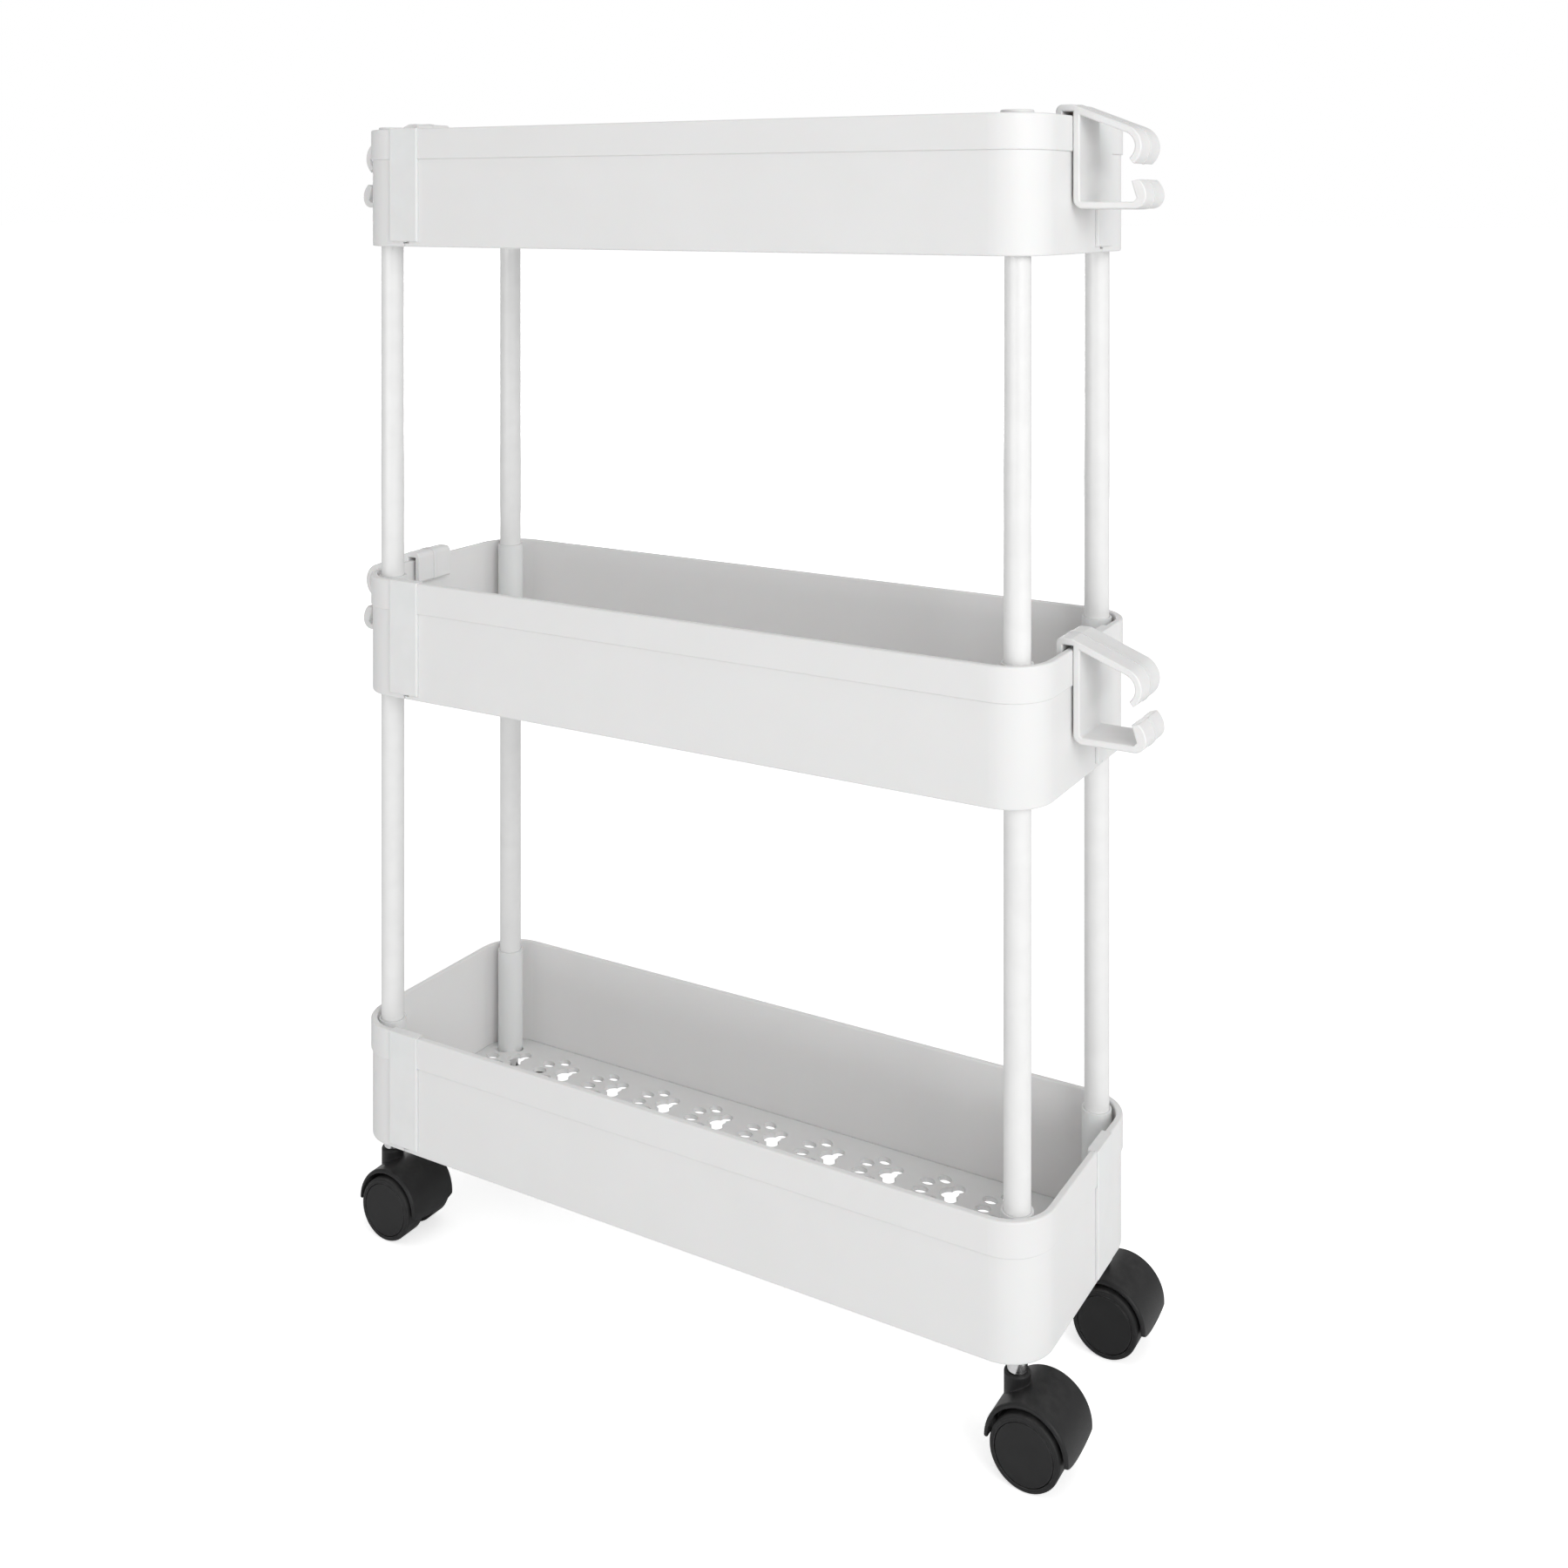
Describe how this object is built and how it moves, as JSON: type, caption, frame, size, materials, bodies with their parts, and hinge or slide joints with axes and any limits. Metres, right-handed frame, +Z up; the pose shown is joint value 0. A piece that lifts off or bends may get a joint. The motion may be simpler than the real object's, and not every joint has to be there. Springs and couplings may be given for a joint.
{
  "type": "rolling pantry cart",
  "caption": "Slim white rolling cart of stacked rounded trays on tube posts, with drain-hole floors, clip-on end hooks and black twin-wheel swivel casters.",
  "frame": {"origin": "on the floor, under the middle of the cart's bounding box", "axes": "+X along the tray length towards the right end, +Y from the long front wall towards the back, +Z up"},
  "size_m": [0.47, 0.1364, 0.6065],
  "materials": {
    "tray_white": "clean white moulded plastic with a fine satin surface",
    "post_white": "white coated steel tube, slightly glossy",
    "hook_white": "white moulded plastic, soft gloss",
    "caster_black": "near-black satin plastic",
    "wheel_black": "near-black satin plastic tread",
    "stem_steel": "bright plated steel",
    "axle_steel": "plain turned steel"
  },
  "bodies": {
    "frame": {"bottom_tray_floor": "tray_white", "bottom_tray_front_panel": "tray_white", "bottom_tray_back_panel": "tray_white", "bottom_tray_front_joint_clip": "tray_white", "bottom_tray_side_joint_clip": "tray_white", "middle_tray_floor": "tray_white", "middle_tray_front_panel": "tray_white", "middle_tray_back_panel": "tray_white", "middle_tray_front_joint_clip": "tray_white", "middle_tray_side_joint_clip": "tray_white", "top_tray_floor": "tray_white", "top_tray_front_panel": "tray_white", "top_tray_back_panel": "tray_white", "top_tray_front_joint_clip": "tray_white", "top_tray_side_joint_clip": "tray_white", "lower_post_front_left": "post_white", "lower_post_front_right": "post_white", "lower_post_back_left": "post_white", "lower_post_back_right": "post_white", "upper_post_front_left": "post_white", "upper_post_front_right": "post_white", "upper_post_back_left": "post_white", "upper_post_back_right": "post_white", "post_caps": "tray_white", "stem_sockets": "tray_white", "caster_stem_front_left": "stem_steel", "caster_stem_front_right": "stem_steel", "caster_stem_back_left": "stem_steel", "caster_stem_back_right": "stem_steel"},
    "middle_left_hook_body": {"middle_left_hook": "hook_white"},
    "middle_right_hook_body": {"middle_right_hook": "hook_white"},
    "top_left_hook_body": {"top_left_hook": "hook_white"},
    "top_right_hook_body": {"top_right_hook": "hook_white"},
    "caster_front_left": {"caster_hood_front_left": "caster_black", "caster_axle_front_left": "axle_steel"},
    "wheel_front_left_a_body": {"wheel_front_left_a": "wheel_black", "hub_cap_front_left_a": "caster_black"},
    "wheel_front_left_b_body": {"wheel_front_left_b": "wheel_black", "hub_cap_front_left_b": "caster_black"},
    "caster_front_right": {"caster_hood_front_right": "caster_black", "caster_axle_front_right": "axle_steel"},
    "wheel_front_right_a_body": {"wheel_front_right_a": "wheel_black", "hub_cap_front_right_a": "caster_black"},
    "wheel_front_right_b_body": {"wheel_front_right_b": "wheel_black", "hub_cap_front_right_b": "caster_black"},
    "caster_back_left": {"caster_hood_back_left": "caster_black", "caster_axle_back_left": "axle_steel"},
    "wheel_back_left_a_body": {"wheel_back_left_a": "wheel_black", "hub_cap_back_left_a": "caster_black"},
    "wheel_back_left_b_body": {"wheel_back_left_b": "wheel_black", "hub_cap_back_left_b": "caster_black"},
    "caster_back_right": {"caster_hood_back_right": "caster_black", "caster_axle_back_right": "axle_steel"},
    "wheel_back_right_a_body": {"wheel_back_right_a": "wheel_black", "hub_cap_back_right_a": "caster_black"},
    "wheel_back_right_b_body": {"wheel_back_right_b": "wheel_black", "hub_cap_back_right_b": "caster_black"}
  },
  "joints": [
    {"name": "middle_left_hook_lift", "type": "slide", "parent": "frame", "child": "middle_left_hook_body", "axis": [0, 0, 1], "range_m": [0, 0.03]},
    {"name": "middle_right_hook_lift", "type": "slide", "parent": "frame", "child": "middle_right_hook_body", "axis": [0, 0, 1], "range_m": [0, 0.03]},
    {"name": "top_left_hook_lift", "type": "slide", "parent": "frame", "child": "top_left_hook_body", "axis": [0, 0, 1], "range_m": [0, 0.03]},
    {"name": "top_right_hook_lift", "type": "slide", "parent": "frame", "child": "top_right_hook_body", "axis": [0, 0, 1], "range_m": [0, 0.03]},
    {"name": "caster_front_left_swivel", "type": "hinge", "parent": "frame", "child": "caster_front_left", "pos_m": [-0.185, -0.051, 0.03], "axis": [0, 0, 1], "continuous": true},
    {"name": "wheel_front_left_a_spin", "type": "hinge", "parent": "caster_front_left", "child": "wheel_front_left_a_body", "pos_m": [-0.175, -0.051, 0.0165], "axis": [0, 1, 0], "continuous": true},
    {"name": "wheel_front_left_b_spin", "type": "hinge", "parent": "caster_front_left", "child": "wheel_front_left_b_body", "pos_m": [-0.175, -0.051, 0.0165], "axis": [0, 1, 0], "continuous": true},
    {"name": "caster_front_right_swivel", "type": "hinge", "parent": "frame", "child": "caster_front_right", "pos_m": [0.185, -0.051, 0.03], "axis": [0, 0, 1], "continuous": true},
    {"name": "wheel_front_right_a_spin", "type": "hinge", "parent": "caster_front_right", "child": "wheel_front_right_a_body", "pos_m": [0.195, -0.051, 0.0165], "axis": [0, 1, 0], "continuous": true},
    {"name": "wheel_front_right_b_spin", "type": "hinge", "parent": "caster_front_right", "child": "wheel_front_right_b_body", "pos_m": [0.195, -0.051, 0.0165], "axis": [0, 1, 0], "continuous": true},
    {"name": "caster_back_left_swivel", "type": "hinge", "parent": "frame", "child": "caster_back_left", "pos_m": [-0.185, 0.051, 0.03], "axis": [0, 0, 1], "continuous": true},
    {"name": "wheel_back_left_a_spin", "type": "hinge", "parent": "caster_back_left", "child": "wheel_back_left_a_body", "pos_m": [-0.175, 0.051, 0.0165], "axis": [0, 1, 0], "continuous": true},
    {"name": "wheel_back_left_b_spin", "type": "hinge", "parent": "caster_back_left", "child": "wheel_back_left_b_body", "pos_m": [-0.175, 0.051, 0.0165], "axis": [0, 1, 0], "continuous": true},
    {"name": "caster_back_right_swivel", "type": "hinge", "parent": "frame", "child": "caster_back_right", "pos_m": [0.185, 0.051, 0.03], "axis": [0, 0, 1], "continuous": true},
    {"name": "wheel_back_right_a_spin", "type": "hinge", "parent": "caster_back_right", "child": "wheel_back_right_a_body", "pos_m": [0.195, 0.051, 0.0165], "axis": [0, 1, 0], "continuous": true},
    {"name": "wheel_back_right_b_spin", "type": "hinge", "parent": "caster_back_right", "child": "wheel_back_right_b_body", "pos_m": [0.195, 0.051, 0.0165], "axis": [0, 1, 0], "continuous": true}
  ]
}
